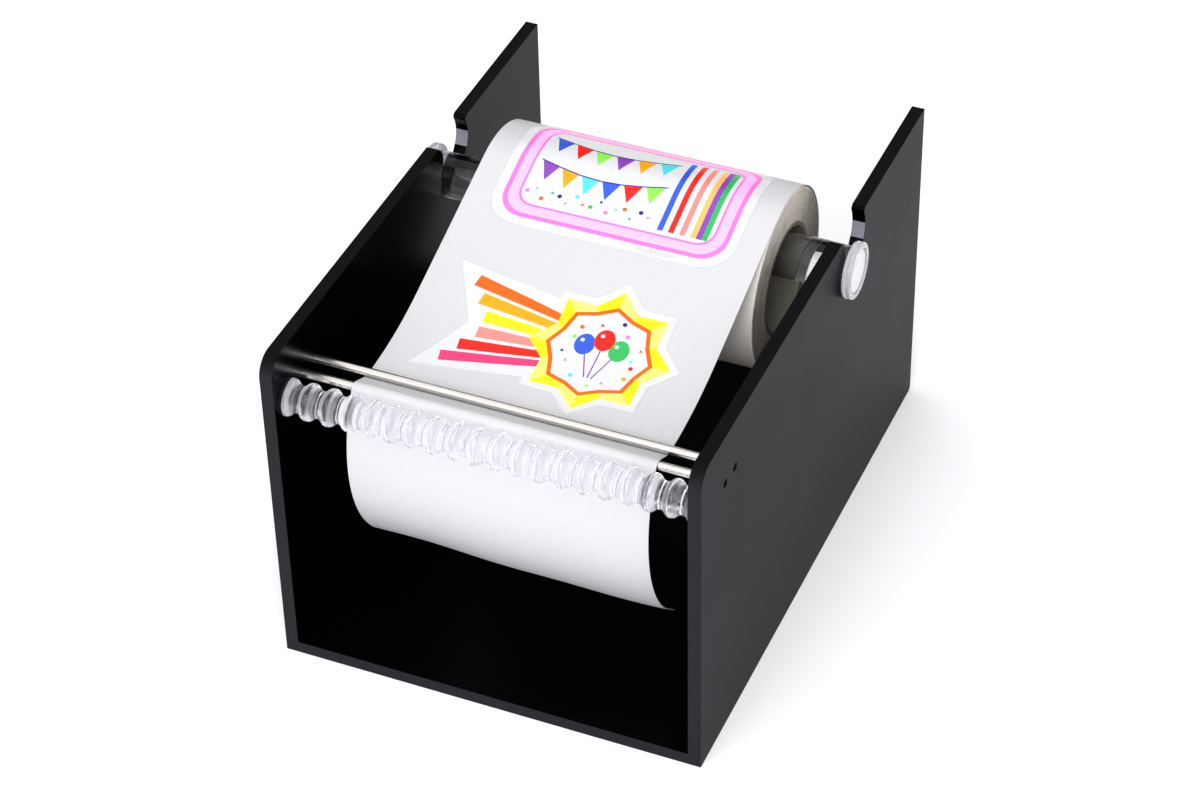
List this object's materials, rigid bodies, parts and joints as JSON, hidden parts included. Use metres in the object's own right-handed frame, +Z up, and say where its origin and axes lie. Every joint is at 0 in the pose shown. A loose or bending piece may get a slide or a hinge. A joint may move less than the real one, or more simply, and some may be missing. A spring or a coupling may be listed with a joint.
{
  "type": "label dispenser",
  "caption": "Open acrylic desk stand that carries a roll of labels on a clear spool and peels them off as the liner turns over a steel rod behind a beaded roller.",
  "frame": {"origin": "centre of the footprint, on the surface the stand rests on", "axes": "+X to the right seen from the front, +Y from the peeling edge to the back, +Z up"},
  "size_m": [0.174, 0.231, 0.1446],
  "materials": {
    "black_acrylic": "cast acrylic sheet, gloss faces, satin cut edges",
    "polished_steel": "polished stainless rod",
    "clear_acrylic": "turned and polished clear acrylic",
    "core_board": "spiral wound board",
    "wound_labels": "edges of wound liner and labels",
    "liner_paper": "glazed release liner",
    "label_print": "gloss coated label stock"
  },
  "bodies": {
    "root": {"base_panel": "black_acrylic", "left_side_panel": "black_acrylic", "right_side_panel": "black_acrylic", "rear_guide_rod": "polished_steel", "front_peel_rod": "polished_steel", "liner_web": "liner_paper", "star_label_front": "label_print", "tag_label": "label_print", "star_label_rear": "label_print"},
    "roller": {"bead_roller": "clear_acrylic"},
    "spool": {"spool_rod": "clear_acrylic", "left_flange_ring": "clear_acrylic", "right_flange_ring": "clear_acrylic"},
    "roll": {"roll_core": "core_board", "label_roll": "wound_labels"}
  },
  "joints": [
    {"name": "bead_roller_spin", "type": "hinge", "parent": "root", "child": "roller", "pos_m": [0, -0.1051, 0.1152], "axis": [1, 0, 0], "continuous": true},
    {"name": "label_roll_spin", "type": "hinge", "parent": "root", "child": "roll", "pos_m": [0, 0.0317, 0.10875], "axis": [1, 0, 0], "continuous": true},
    {"name": "spool_spin", "type": "hinge", "parent": "root", "child": "spool", "pos_m": [0, 0.0317, 0.1202], "axis": [1, 0, 0], "continuous": true}
  ],
  "couplings": [
    {"joint": "spool_spin", "follows": "label_roll_spin", "ratio": 2.3429}
  ]
}
